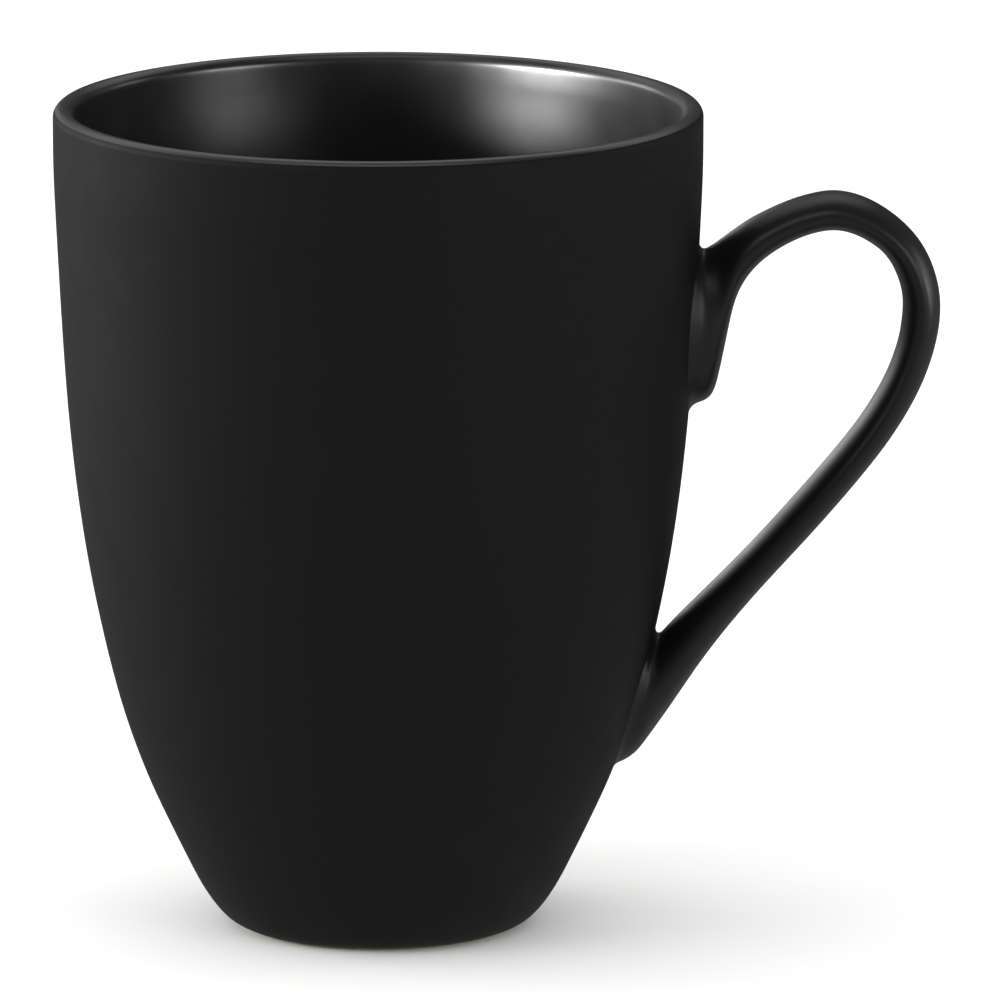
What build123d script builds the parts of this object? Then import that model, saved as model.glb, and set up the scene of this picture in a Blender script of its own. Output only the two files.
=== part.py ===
from build123d import *
import math
import os

# A stoneware mug: a tall barrel-shaped vessel with a looped strap handle luted on at two pads.
# The mug's axis is the Z axis, it stands on the plane Z = 0, and the handle points along +X.
# Every form is drawn to its glazed surface. The clay lies inside it by the glaze's thickness.

# --- driving dimensions, in millimetres ---
mug_height = 109.0
rim_radius = 42.5
lip_thickness = 2.7
floor_height = 7.0
foot_radius = 16.8
foot_rounding = 5.7
foot_rounding_angle = 47.0
recess_radius = 13.6
recess_depth = 1.8
recess_corner_radius = 0.8
glaze_thickness = 0.3
bare_foot_height = 0.35
lip_glaze_drop = 0.5

# Radius and height of the outside wall, from the foot's rounding up to the lip
outside_points = [(26.0, 10.2), (30.7, 20.4), (37.15, 43.2), (40.6, 67.7), (42.15, 93.6)]
# Radius and height of the inside wall, from the lip down to the floor
inside_points = [(38.9, 93.6), (36.8, 67.7), (33.0, 43.2), (26.2, 21.5), (15.0, 9.3)]

# Stations along the handle, from the upper pad round the loop to the lower pad. Each one gives
# the strap's outer edge and inner edge as (x, z), and its width from side to side there.
# The first two and the last two are sunk in the wall, where the pads are luted on.
handle_stations = [
    ((39.5, 87.6), (39.5, 69.4), 15.0),
    ((41.5, 88.9), (41.5, 69.4), 15.0),
    ((43.2, 90.0), (43.2, 70.3), 14.4),
    ((44.3, 90.9), (44.3, 73.0), 13.6),
    ((45.2, 91.6), (45.2, 78.0), 12.8),
    ((46.4, 92.5), (46.6, 83.2), 12.0),
    ((48.0, 93.6), (48.6, 87.0), 11.4),
    ((51.0, 95.2), (51.8, 90.0), 11.0),
    ((55.2, 96.9), (55.8, 91.9), 11.0),
    ((59.9, 97.6), (59.9, 92.6), 11.0),
    ((66.4, 95.1), (64.1, 90.9), 11.0),
    ((71.1, 90.6), (67.2, 88.0), 11.0),
    ((73.5, 83.6), (68.6, 83.4), 11.0),
    ((72.9, 77.2), (68.1, 78.1), 11.0),
    ((70.0, 69.6), (65.7, 71.8), 11.0),
    ((64.9, 61.8), (61.1, 64.8), 11.0),
    ((55.9, 51.1), (52.2, 54.3), 11.0),
    ((46.4, 40.3), (42.2, 43.9), 11.4),
    ((42.3, 34.9), (38.0, 39.7), 12.0),
    ((38.2, 28.8), (36.6, 38.4), 12.8),
    ((35.2, 24.5), (35.6, 37.6), 13.4),
    ((33.2, 22.3), (34.8, 37.0), 13.8),
    ((31.0, 21.2), (34.2, 36.6), 14.0),
    ((29.4, 20.8), (33.4, 36.4), 14.0),
]

# --- worked out from the driving dimensions ---
lip_radius = lip_thickness / 2
lip_centre_height = mug_height - lip_radius

os.makedirs("parts", exist_ok=True)


def moved_left(before, points, after, distance):
    """The points of an outline that runs from before to after, each moved to its left by distance."""
    chain = [Vector(*point) for point in (before, *points, after)]
    runs = [(ahead - behind).normalized() for behind, ahead in zip(chain, chain[2:])]
    return [point + run.rotate(Axis.Z, 90) * distance for point, run in zip(chain[1:], runs)]


def vessel_section(inset):
    """Half of the vessel's wall cut through the axis, with its glazed surface moved in by inset."""
    with BuildSketch() as section:
        with BuildLine():
            FilletPolyline(
                (0, recess_depth + inset),
                (recess_radius + inset, recess_depth + inset),
                (recess_radius + inset, inset),
                (foot_radius, inset),
                radius=recess_corner_radius,
            )
            rounding = CenterArc(
                (foot_radius, foot_rounding), foot_rounding - inset, -90, foot_rounding_angle
            )
            lip = CenterArc((rim_radius - lip_radius, lip_centre_height), lip_radius - inset, 0, 180)
            floor_centre = (0, floor_height - inset)
            Spline(
                rounding @ 1,
                *moved_left(rounding @ 1, outside_points, lip @ 0, inset),
                lip @ 0,
                tangents=[rounding % 1, (0, 1)],
            )
            Spline(
                lip @ 1,
                *moved_left(lip @ 1, inside_points, floor_centre, inset),
                floor_centre,
                tangents=[(0, -1), (-1, 0)],
            )
            Line(floor_centre, (0, recess_depth + inset))
        make_face()
    return section.sketch


def section_plane(outer, inner):
    """The plane across the handle through its outer and inner edge, with x towards the outer edge."""
    middle = ((outer[0] + inner[0]) / 2, 0, (outer[1] + inner[1]) / 2)
    across = Vector(outer[0] - inner[0], 0, outer[1] - inner[1]).normalized()
    return Plane(origin=middle, x_dir=across, z_dir=across.cross(Vector(0, 1, 0)))


def handle_form(inset):
    """The handle's oval strap with its two pads, with its glazed surface moved in by inset."""
    with BuildPart() as form:
        for outer, inner, width in handle_stations:
            with BuildSketch(section_plane(outer, inner)):
                Ellipse(math.dist(outer, inner) / 2 - inset, width / 2 - inset)
        loft()
    return form.part


def turned(section):
    """A half-section turned once round the mug's axis."""
    with BuildPart() as form:
        with BuildSketch(Plane.XZ):
            add(section)
        revolve(axis=Axis.Z)
    return form.part


glazed_section = vessel_section(0)
bisque_section = vessel_section(glaze_thickness)
glazed_vessel = turned(glazed_section)
glazed_handle = handle_form(0)
bisque_handle = handle_form(glaze_thickness)

# The clay's half-section. Its foot ring is wiped clean of glaze, so there the clay is at the surface.
with BuildSketch() as clay_section:
    add(glazed_section)
    with Locations((rim_radius, 0)):
        Rectangle(2 * rim_radius, 2 * bare_foot_height, mode=Mode.INTERSECT)
    add(bisque_section)

# The glaze's half-section, parted into the liner and the outside at a line round the lip
with BuildSketch() as coat_section:
    add(glazed_section)
    add(clay_section.sketch, mode=Mode.SUBTRACT)

with BuildSketch() as lip_coat:
    add(coat_section.sketch)
    with Locations((rim_radius, mug_height / 2 - lip_glaze_drop)):
        Rectangle(2 * rim_radius, mug_height, mode=Mode.SUBTRACT)

with BuildSketch() as wall_coats:
    add(coat_section.sketch)
    with Locations((rim_radius, mug_height)):
        Rectangle(2 * rim_radius, 2 * lip_glaze_drop, mode=Mode.SUBTRACT)

recess_coat, inside_coat, outside_coat = wall_coats.faces().sort_by(Axis.X)

# Clay body: the fired stoneware vessel
with BuildPart() as clay_body:
    add(turned(clay_section.sketch))

clay_body.part.label = "clay_body"
export_step(clay_body.part, "parts/clay_body.step")

# Interior glaze: one coat over the floor, the inside wall and the lip
with BuildPart() as interior_glaze:
    add(turned(inside_coat))
    add(turned(lip_coat.sketch))

interior_glaze.part.label = "interior_glaze"
export_step(interior_glaze.part, "parts/interior_glaze.step")

# Exterior glaze: the outside coat, open where the pads are luted on, and the recess's own coat
with BuildPart() as exterior_glaze:
    add(turned(outside_coat))
    add(bisque_handle, mode=Mode.SUBTRACT)
    add(turned(recess_coat))

exterior_glaze.part.label = "exterior_glaze"
export_step(exterior_glaze.part, "parts/exterior_glaze.step")

# Slip joints: the clay slip that fills the space between each pad and the wall
with BuildPart() as slip_joints:
    add(turned(outside_coat))
    add(bisque_handle, mode=Mode.INTERSECT)

lower_slip, upper_slip = slip_joints.solids().sort_by(Axis.Z)

with BuildPart() as upper_slip_joint:
    add(upper_slip)

upper_slip_joint.part.label = "upper_slip_joint"
export_step(upper_slip_joint.part, "parts/upper_slip_joint.step")

with BuildPart() as lower_slip_joint:
    add(lower_slip)

lower_slip_joint.part.label = "lower_slip_joint"
export_step(lower_slip_joint.part, "parts/lower_slip_joint.step")

# Clay handle: the pressed strap and pads, up to the slip
with BuildPart() as clay_handle:
    add(bisque_handle)
    add(glazed_vessel, mode=Mode.SUBTRACT)

clay_handle.part.label = "clay_handle"
export_step(clay_handle.part, "parts/clay_handle.step")

# Handle glaze: a closed sleeve over the clay handle, from pad to pad
with BuildPart() as handle_glaze:
    add(glazed_handle)
    add(bisque_handle, mode=Mode.SUBTRACT)
    add(glazed_vessel, mode=Mode.SUBTRACT)

handle_glaze.part.label = "handle_glaze"
export_step(handle_glaze.part, "parts/handle_glaze.step")
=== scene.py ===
import math

import bmesh
import bpy
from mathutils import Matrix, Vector


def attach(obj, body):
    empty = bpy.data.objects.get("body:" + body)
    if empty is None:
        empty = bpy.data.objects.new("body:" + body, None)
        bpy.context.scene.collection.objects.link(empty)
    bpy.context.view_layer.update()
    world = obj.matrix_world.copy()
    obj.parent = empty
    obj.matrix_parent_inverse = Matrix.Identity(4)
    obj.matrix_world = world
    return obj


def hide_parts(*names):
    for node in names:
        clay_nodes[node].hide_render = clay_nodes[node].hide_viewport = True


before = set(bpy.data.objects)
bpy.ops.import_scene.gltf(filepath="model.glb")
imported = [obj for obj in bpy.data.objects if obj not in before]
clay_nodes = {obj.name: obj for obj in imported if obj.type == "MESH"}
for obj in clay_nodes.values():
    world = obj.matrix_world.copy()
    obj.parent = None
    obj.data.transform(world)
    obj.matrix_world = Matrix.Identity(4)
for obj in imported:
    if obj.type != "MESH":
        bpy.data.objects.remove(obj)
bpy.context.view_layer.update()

MM = 0.001
bpy.ops.object.select_all(action="DESELECT")


# --- Clay body and clay handle ---
# The vessel is jiggered in stoneware and the handle is pressed, then luted on at two pads. Both
# are bisque-fired and glazed all over, so the clay shows only on the foot ring, where the glaze
# is wiped off so that the mug doesn't stick to the kiln shelf.

def linear(hex_colour):
    """An sRGB hex colour as the linear colour that a shader works in."""
    parts = [int(hex_colour[place:place + 2], 16) / 255 for place in (1, 3, 5)]
    return [c / 12.92 if c <= 0.04045 else ((c + 0.055) / 1.055) ** 2.4 for c in parts] + [1.0]


def add_node(material, kind, inputs, **settings):
    """One shader node. An input takes a value, or the output socket of another node."""
    tree = material.node_tree
    node = tree.nodes.new(kind)
    for name, value in settings.items():
        setattr(node, name, value)
    for name, value in inputs.items():
        if isinstance(value, bpy.types.NodeSocket):
            tree.links.new(value, node.inputs[name])
        else:
            node.inputs[name].default_value = value
    return node


def new_material(name):
    """A material with a bare Principled shader, and the object's own coordinates in metres."""
    material = bpy.data.materials.new(name)
    material.use_nodes = True
    shader = material.node_tree.nodes["Principled BSDF"]
    place = add_node(material, "ShaderNodeTexCoord", {}).outputs["Object"]
    return material, shader, place


def grains_per_metre(size_mm):
    """A noise scale whose grains are about size_mm across."""
    return 1 / (size_mm * MM)


# Fired stoneware: warm buff and quite matt, with fine grog, and a few iron specks that burn
# through as dark dots about half a millimetre wide. Sizes and spacings are in mm.
GROG_SIZE = 0.3
GROG_DEPTH = 0.05
SPECK_SPACING = 1.9


def stoneware(name, body_colour, grog_colour, speck_colour):
    material, shader, place = new_material(name)
    grog = add_node(material, "ShaderNodeTexNoise", {
        "Vector": place, "Scale": grains_per_metre(GROG_SIZE), "Detail": 3.0, "Roughness": 0.6})
    specks = add_node(material, "ShaderNodeTexVoronoi", {
        "Vector": place, "Scale": grains_per_metre(SPECK_SPACING), "Randomness": 1.0})
    speck_here = add_node(material, "ShaderNodeMapRange", {
        "Value": specks.outputs["Distance"],
        "From Min": 0.10, "From Max": 0.17, "To Min": 1.0, "To Max": 0.0})
    mottled = add_node(material, "ShaderNodeMix", {
        0: grog.outputs["Fac"], 6: linear(body_colour), 7: linear(grog_colour)},
        data_type="RGBA")
    speckled = add_node(material, "ShaderNodeMix", {
        0: speck_here.outputs["Result"], 6: mottled.outputs[2], 7: linear(speck_colour)},
        data_type="RGBA")
    tooth = add_node(material, "ShaderNodeBump", {
        "Height": grog.outputs["Fac"], "Strength": 0.6, "Distance": GROG_DEPTH * MM})
    rough = add_node(material, "ShaderNodeMapRange", {
        "Value": grog.outputs["Fac"], "To Min": 0.78, "To Max": 0.92})
    links = material.node_tree.links
    links.new(speckled.outputs[2], shader.inputs["Base Color"])
    links.new(rough.outputs["Result"], shader.inputs["Roughness"])
    links.new(tooth.outputs["Normal"], shader.inputs["Normal"])
    shader.inputs["IOR"].default_value = 1.5
    return material


fired_stoneware = stoneware("fired_stoneware_clay", "#9a8d78", "#7f7261", "#3b3029")
for clay in ("clay_body", "clay_handle"):
    clay_nodes[clay].material_slots[0].material = fired_stoneware


# --- Slip joints ---
# The thin beds of slip, clay let down with water, that lute the pads to the wall. They fire
# a little darker and closer than the body, and the glaze covers them.
fired_slip = stoneware("fired_clay_slip", "#8f826d", "#776a59", "#4a3d33")
for joint in ("upper_slip_joint", "lower_slip_joint"):
    clay_nodes[joint].material_slots[0].material = fired_slip


# --- Outside coat ---
# Matt black glaze, sprayed on the outside from the wiped foot up to a line on the lip, half a
# millimetre below its top. The coat follows the barrel of the jiggered wall and rounds in
# tightly under it to the foot.
COAT = 0.3 * MM
AROUND = 64


def cage_corner(before, point, after):
    """The corner that a subdivided cage needs so that its smooth surface passes by the point."""
    return [p + (p - (a + b) / 2) / 3 for a, p, b in zip(before, point, after)]


def cage(points):
    """Cage corners for a run of points. The two ends stay where they are."""
    middle = [cage_corner(*three) for three in zip(points, points[1:], points[2:])]
    return [list(points[0]), *middle, list(points[-1])]


def finish_coat(coat):
    """Rounds a coat's cage, gives it the thickness of the glaze inwards, and shades it smooth."""
    modifiers = [
        ("SUBSURF", {"levels": 2, "render_levels": 2}),
        ("SOLIDIFY", {"thickness": COAT, "offset": -1.0}),
    ]
    for kind, settings in modifiers:
        modifier = coat.modifiers.new(kind.lower(), kind)
        for name, value in settings.items():
            setattr(modifier, name, value)
        bpy.ops.object.modifier_apply(modifier=modifier.name)
    bpy.ops.object.shade_smooth_by_angle(angle=math.radians(40))


def turned_coat(name, stations, closed=False):
    """A coat turned round the axis through (radius, height) stations in mm, as on a wheel."""
    ring_growth = 1 + (1 - math.cos(math.tau / AROUND)) / 3
    corners = [(r * ring_growth * MM, z * MM) for r, z in cage(stations)]
    radius, height = corners[0]
    bpy.ops.object.select_all(action="DESELECT")
    bpy.ops.mesh.primitive_circle_add(vertices=AROUND, radius=radius, location=(0, 0, height))
    bpy.ops.object.transform_apply(location=True, rotation=True, scale=True)
    coat = bpy.context.object
    coat.name = coat.data.name = name
    bpy.ops.object.mode_set(mode="EDIT")
    for next_radius, next_height in corners[1:]:
        bpy.ops.mesh.extrude_region_move(
            TRANSFORM_OT_translate={"value": (0, 0, next_height - height)})
        growth = next_radius / radius
        bpy.ops.transform.resize(
            value=(growth, growth, 1), center_override=(0, 0, next_height))
        radius, height = next_radius, next_height
    if closed:
        bpy.ops.mesh.merge(type="CENTER")
    bpy.ops.mesh.select_all(action="SELECT")
    bpy.ops.mesh.normals_make_consistent(inside=False)
    bpy.ops.object.mode_set(mode="OBJECT")
    return coat


outside_stations = [
    (18.77, 0.35), (19.48, 0.67), (20.2, 1.13), (20.97, 1.81), (21.65, 2.6), (22.34, 3.5),
    (23.32, 5.0), (24.43, 7.0), (26.0, 10.2), (28.3, 15.0), (30.7, 20.4), (33.09, 27.0),
    (35.09, 34.0), (37.15, 43.2), (38.56, 51.0), (39.69, 59.0), (40.6, 67.7), (41.21, 76.0),
    (41.72, 85.0), (42.15, 93.6), (42.43, 100.0), (42.48, 104.0), (42.49, 106.6),
    (42.49, 107.65), (42.46, 107.95), (42.36, 108.24), (42.2, 108.5),
]
outside_coat = turned_coat("outside_coat", outside_stations)
finish_coat(outside_coat)


# Black glaze: fine crystals in its surface scatter the light, more in the matt glaze than in the
# satin and the gloss, and the coat as a whole lies a little uneven. The crystals are drawn
# coarser than real ones, so that they show. Sizes are in mm.
CRYSTAL_SIZE = 0.25
WAVE_SIZE = 6.0


def black_glaze(name, colours, roughness, crystal_depth, wave_depth, mirror=0.5):
    material, shader, place = new_material(name)
    crystals = add_node(material, "ShaderNodeTexNoise", {
        "Vector": place, "Scale": grains_per_metre(CRYSTAL_SIZE), "Detail": 2.0})
    waves = add_node(material, "ShaderNodeTexNoise", {
        "Vector": place, "Scale": grains_per_metre(WAVE_SIZE), "Detail": 2.0, "Roughness": 0.45})
    colour = add_node(material, "ShaderNodeMix", {
        0: waves.outputs["Fac"], 6: linear(colours[0]), 7: linear(colours[1])},
        data_type="RGBA")
    rough = add_node(material, "ShaderNodeMapRange", {
        "Value": waves.outputs["Fac"], "From Min": 0.3, "From Max": 0.7,
        "To Min": roughness[0], "To Max": roughness[1]})
    peel = add_node(material, "ShaderNodeBump", {
        "Height": waves.outputs["Fac"], "Strength": 1.0, "Distance": wave_depth * MM})
    tooth = add_node(material, "ShaderNodeBump", {
        "Height": crystals.outputs["Fac"], "Normal": peel.outputs["Normal"],
        "Strength": 1.0, "Distance": crystal_depth * MM})
    links = material.node_tree.links
    links.new(colour.outputs[2], shader.inputs["Base Color"])
    links.new(rough.outputs["Result"], shader.inputs["Roughness"])
    links.new(tooth.outputs["Normal"], shader.inputs["Normal"])
    shader.inputs["IOR"].default_value = 1.5
    shader.inputs["Specular IOR Level"].default_value = mirror
    return material


# Matt: it stays black, and only lifts to a soft grey where the light rakes it
matt_black_glaze = black_glaze(
    "matt_black_stoneware_glaze", ("#080808", "#0c0b0b"), (0.60, 0.68), 0.012, 0.02, mirror=0.29)
outside_coat.data.materials.append(matt_black_glaze)
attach(outside_coat, "root")
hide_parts("exterior_glaze")


# --- Recess coat ---
# The same matt glaze inside the foot ring. The recess is 1.8 mm deep, so that the glaze on its
# flat roof stays clear of the kiln shelf, and its corner is turned with a small radius.
recess_stations = [
    (13.74, 0.35), (13.62, 0.6), (13.6, 0.9), (13.54, 1.25), (13.3, 1.6), (12.85, 1.78),
    (12.2, 1.8), (9.5, 1.8), (6.0, 1.8), (2.5, 1.8), (0.6, 1.8),
]
recess_coat = turned_coat("recess_coat", recess_stations, closed=True)
roof = min(recess_coat.data.polygons, key=lambda face: face.center.xy.length)
if roof.normal.z > 0:
    recess_coat.data.flip_normals()
finish_coat(recess_coat)
recess_coat.data.materials.append(matt_black_glaze)
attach(recess_coat, "root")
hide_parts("exterior_glaze")


# --- Liner coat ---
# Gloss black liner glaze, poured in and swirled. It covers the floor and the inside wall, goes
# over the top of the rounded lip, and meets the matt glaze just outside it.
liner_stations = [
    (42.2, 108.5), (41.92, 108.76), (41.57, 108.93), (41.15, 109.0), (40.73, 108.93),
    (40.36, 108.74), (40.06, 108.44), (39.87, 108.07), (39.8, 107.65),
    (39.79, 106.6), (39.76, 105.2), (39.69, 103.3), (39.46, 100.0), (38.9, 93.6),
    (38.23, 85.0), (37.56, 76.0), (36.8, 67.7), (35.7, 59.0), (34.43, 51.0), (33.0, 43.2),
    (31.23, 35.0), (28.73, 27.0), (26.2, 21.5), (23.39, 17.0), (20.5, 13.5), (17.7, 11.0),
    (15.0, 9.3), (12.0, 8.12), (9.0, 7.46), (6.0, 7.14), (3.0, 7.02), (0.6, 7.0),
]
liner_coat = turned_coat("liner_coat", liner_stations, closed=True)
finish_coat(liner_coat)

# Gloss: it mirrors the soft boxes as broad, clean bands down the inside wall
gloss_black_glaze = black_glaze(
    "gloss_black_liner_glaze", ("#060606", "#090909"), (0.31, 0.36), 0.0015, 0.03)
liner_coat.data.materials.append(gloss_black_glaze)
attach(liner_coat, "root")
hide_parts("interior_glaze")


# --- Handle coat ---
# The pressed strap is an oval 5 mm thick and 11 mm wide that swells into two long pads. The
# glaze runs into the angle between each pad and the wall and rounds it off there.
RING = 16

# Outer and inner edge of the strap as (x, z), and its width, in mm, from the upper pad round
# the loop to the lower pad. The first ring and the last ring lie on the wall.
strap_rings = [
    ((42.0, 90.8), (40.75, 68.0), 17.0), ((42.22, 90.15), (41.0, 68.95), 15.7),
    ((42.7, 89.95), (41.7, 69.5), 14.9), ((43.4, 90.3), (42.9, 69.95), 14.4),
    ((44.1, 90.75), (43.75, 70.9), 14.0), ((44.7, 91.2), (44.3, 72.4), 13.6),
    ((45.4, 91.7), (44.95, 75.3), 13.3), ((46.3, 92.35), (45.8, 79.5), 12.9),
    ((47.4, 93.1), (46.7, 83.4), 12.4), ((49.0, 94.1), (48.5, 86.8), 11.8),
    ((51.3, 95.25), (51.3, 89.45), 11.2), ((54.1, 96.45), (54.5, 91.3), 11.0),
    ((57.0, 97.25), (57.3, 92.3), 11.0), ((59.9, 97.6), (59.9, 92.6), 11.0),
    ((63.3, 96.85), (62.2, 92.05), 11.0), ((66.4, 95.2), (64.2, 91.0), 11.0),
    ((69.0, 93.1), (65.9, 89.7), 11.0), ((71.1, 90.6), (67.2, 87.9), 11.0),
    ((72.7, 87.3), (68.1, 85.75), 11.0), ((73.5, 83.6), (68.6, 83.4), 11.0),
    ((73.45, 80.3), (68.5, 80.8), 11.0), ((72.9, 77.2), (68.1, 78.2), 11.0),
    ((71.8, 73.6), (67.2, 75.2), 11.0), ((70.0, 69.6), (65.7, 71.8), 11.0),
    ((67.6, 65.6), (63.55, 68.2), 11.0), ((64.9, 61.8), (61.1, 64.8), 11.0),
    ((60.6, 56.5), (56.9, 59.7), 11.0), ((55.9, 51.1), (52.2, 54.3), 11.0),
    ((51.0, 45.7), (47.4, 49.05), 11.1), ((46.4, 40.3), (42.9, 44.5), 11.4),
    ((42.3, 34.9), (40.0, 41.6), 11.8), ((38.7, 29.5), (38.5, 40.05), 12.4),
    ((36.6, 26.5), (37.8, 39.3), 12.9), ((34.9, 24.1), (37.4, 38.85), 13.3),
    ((33.8, 22.75), (37.1, 38.6), 13.6), ((32.6, 21.8), (36.85, 38.5), 13.9),
    ((31.6, 21.3), (36.6, 38.6), 14.3), ((31.0, 20.95), (36.45, 38.9), 14.9),
    ((30.6, 20.1), (36.4, 39.7), 16.2),
]
ring_growth = 1 + (1 - math.cos(math.tau / RING)) / 3
strap_corners = cage([(*outer, *inner, width) for outer, inner, width in strap_rings])

bpy.ops.object.select_all(action="DESELECT")
bpy.ops.mesh.primitive_circle_add(vertices=RING, radius=MM)
handle_coat = bpy.context.object
handle_coat.name = handle_coat.data.name = "handle_coat"
bpy.ops.object.mode_set(mode="EDIT")
bpy.ops.mesh.delete(type="VERT")
rings_made = 0
for outer_x, outer_z, inner_x, inner_z, width in strap_corners:
    half_thickness = math.dist((outer_x, outer_z), (inner_x, inner_z)) / 2 * ring_growth
    tilt = math.atan2(outer_z - inner_z, outer_x - inner_x)
    bpy.ops.mesh.primitive_circle_add(vertices=RING, radius=MM)
    bpy.ops.transform.resize(
        value=(half_thickness, width / 2 * ring_growth, 1), center_override=(0, 0, 0))
    bpy.ops.transform.rotate(
        value=tilt, orient_axis="Y", orient_type="GLOBAL", center_override=(0, 0, 0))
    bpy.ops.transform.translate(
        value=((outer_x + inner_x) / 2 * MM, 0, (outer_z + inner_z) / 2 * MM))
    rings_made += 1
    if rings_made > 1:
        strap = bmesh.from_edit_mesh(handle_coat.data)
        strap.verts.ensure_lookup_table()
        for corner in strap.verts[-2 * RING:]:
            corner.select = True
        strap.select_flush(True)
        bpy.ops.mesh.bridge_edge_loops()
bpy.ops.mesh.select_all(action="SELECT")
bpy.ops.mesh.normals_make_consistent(inside=False)
bpy.ops.object.mode_set(mode="OBJECT")

# Both end rings are pressed onto the wall, and a hair into it so that no gap shows
ends = handle_coat.vertex_groups.new(name="pad_ends")
last = len(handle_coat.data.vertices)
ends.add([*range(RING), *range(last - RING, last)], 1.0, "REPLACE")
pressed = handle_coat.modifiers.new("pressed_on", "SHRINKWRAP")
pressed.target = outside_coat
pressed.vertex_group = "pad_ends"
pressed.wrap_mode = "INSIDE"
pressed.offset = 0.08 * MM
bpy.ops.object.modifier_apply(modifier=pressed.name)
finish_coat(handle_coat)

# Satin: between the two, it draws a soft light line along the crest of the strap
satin_black_glaze = black_glaze(
    "satin_black_stoneware_glaze", ("#070707", "#0b0b0b"), (0.38, 0.44), 0.004, 0.02)
handle_coat.data.materials.append(satin_black_glaze)
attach(handle_coat, "root")
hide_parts("handle_glaze")


# --- Floor, light and camera ---
# A plain pale table under the mug, soft boxes round it and a white surround. Some boxes light
# only the liner coat or the handle coat, whose glosses need light where the matt wall doesn't.
bpy.ops.object.select_all(action="DESELECT")
bpy.ops.mesh.primitive_plane_add(size=6.0, location=(0, 0, 0))
table = bpy.context.object
table.name = table.data.name = "table"
white_table, table_shader, _ = new_material("white_table_laminate")
table_shader.inputs["Base Color"].default_value = linear("#fbfbfa")
table_shader.inputs["Roughness"].default_value = 0.9
table_shader.inputs["Specular IOR Level"].default_value = 0.1
table.data.materials.append(white_table)
table.visible_glossy = False

mug_middle = Vector((15.9, 0, 56.4)) * MM
BOX_DISTANCE = 1.5


def soft_box(name, side, height, size, watts, only_on=None):
    """A soft box aimed at the mug, side degrees round from the camera and height degrees up."""
    side, height = math.radians(side), math.radians(height)
    away = Vector((
        math.sin(side) * math.cos(height), -math.cos(side) * math.cos(height), math.sin(height)))
    lamp = bpy.data.lights.new(name, "AREA")
    lamp.shape = "RECTANGLE"
    lamp.size, lamp.size_y = size
    lamp.energy = watts
    box = bpy.data.objects.new(name, lamp)
    box.location = mug_middle + away * BOX_DISTANCE
    box.rotation_euler = away.to_track_quat("Z", "Y").to_euler()
    bpy.context.scene.collection.objects.link(box)
    if only_on:
        box.light_linking.receiver_collection = bpy.data.collections.new(name + "_lights")
        box.light_linking.receiver_collection.objects.link(only_on)


soft_box("key_soft_box", -65, 25, (0.8, 0.4), 6.0)
soft_box("left_soft_box", -110, 11, (0.9, 0.5), 11)
soft_box("back_left_soft_box", -150, 11, (0.9, 0.5), 0.5)
soft_box("front_right_soft_box", 48, 14, (0.6, 0.4), 3.3)
soft_box("right_soft_box", 112, 12, (0.35, 0.5), 1.5)
soft_box("left_strip_on_liner", -65, 7, (0.8, 0.3), 100, only_on=liner_coat)
soft_box("low_strip_on_liner", -68, 3, (0.5, 0.12), 120, only_on=liner_coat)
soft_box("right_strip_on_liner", 60, 7, (0.5, 0.3), 13, only_on=liner_coat)
soft_box("top_soft_box_on_liner", 0, 80, (1.2, 0.5), 3, only_on=liner_coat)
soft_box("back_top_soft_box_on_liner", 180, 50, (3.0, 1.0), 10, only_on=liner_coat)
soft_box("front_top_soft_box_on_handle", -20, 50, (0.8, 0.5), 2.5, only_on=handle_coat)
soft_box("back_left_strip_on_handle", -155, 8, (0.9, 0.3), 2.5, only_on=handle_coat)
soft_box("right_strip_on_handle", 92, 4, (0.4, 0.2), 4, only_on=handle_coat)
soft_box("back_soft_box_on_handle", 180, 45, (1.2, 0.8), 2.2, only_on=handle_coat)

# The surround is white, but in the glazes it shows as a dim room over a pale floor
SURROUND = 1.12
ROOM_IN_FRONT, ROOM_BEHIND = 0.12, 0.07
FLOOR_SHINE = 0.24
surround = bpy.data.worlds.new("white_surround")
surround.use_nodes = True
bpy.context.scene.world = surround
ray = add_node(surround, "ShaderNodeLightPath", {})
direction = add_node(surround, "ShaderNodeTexCoord", {})
parts = add_node(surround, "ShaderNodeSeparateXYZ", {"Vector": direction.outputs["Generated"]})
room = add_node(surround, "ShaderNodeMapRange", {
    "Value": parts.outputs["Y"], "From Min": -1.0,
    "To Min": ROOM_IN_FRONT, "To Max": ROOM_BEHIND})
floor_shine = add_node(surround, "ShaderNodeMapRange", {
    "Value": parts.outputs["Z"], "From Min": -0.5, "From Max": 0.0,
    "To Min": FLOOR_SHINE, "To Max": 0.0})
room_and_floor = add_node(surround, "ShaderNodeMath", {
    0: room.outputs["Result"], 1: floor_shine.outputs["Result"]}, operation="ADD")
shown = add_node(surround, "ShaderNodeMix", {
    0: ray.outputs["Is Glossy Ray"], 2: SURROUND, 3: room_and_floor.outputs[0]})
surround.node_tree.links.new(
    shown.outputs[0], surround.node_tree.nodes["Background"].inputs["Color"])

lens = bpy.data.cameras.new("camera")
lens.lens = 493.5
lens.sensor_width = 36
lens.clip_end = 20
camera = bpy.data.objects.new("camera", lens)
camera_distance = 1.8
camera_height = math.radians(11.65)
away = Vector((0, -math.cos(camera_height), math.sin(camera_height)))
camera.location = mug_middle + away * camera_distance
camera.rotation_euler = (math.radians(90) - camera_height, 0, 0)
bpy.context.scene.collection.objects.link(camera)
bpy.context.scene.camera = camera
bpy.context.scene.view_settings.view_transform = "Standard"
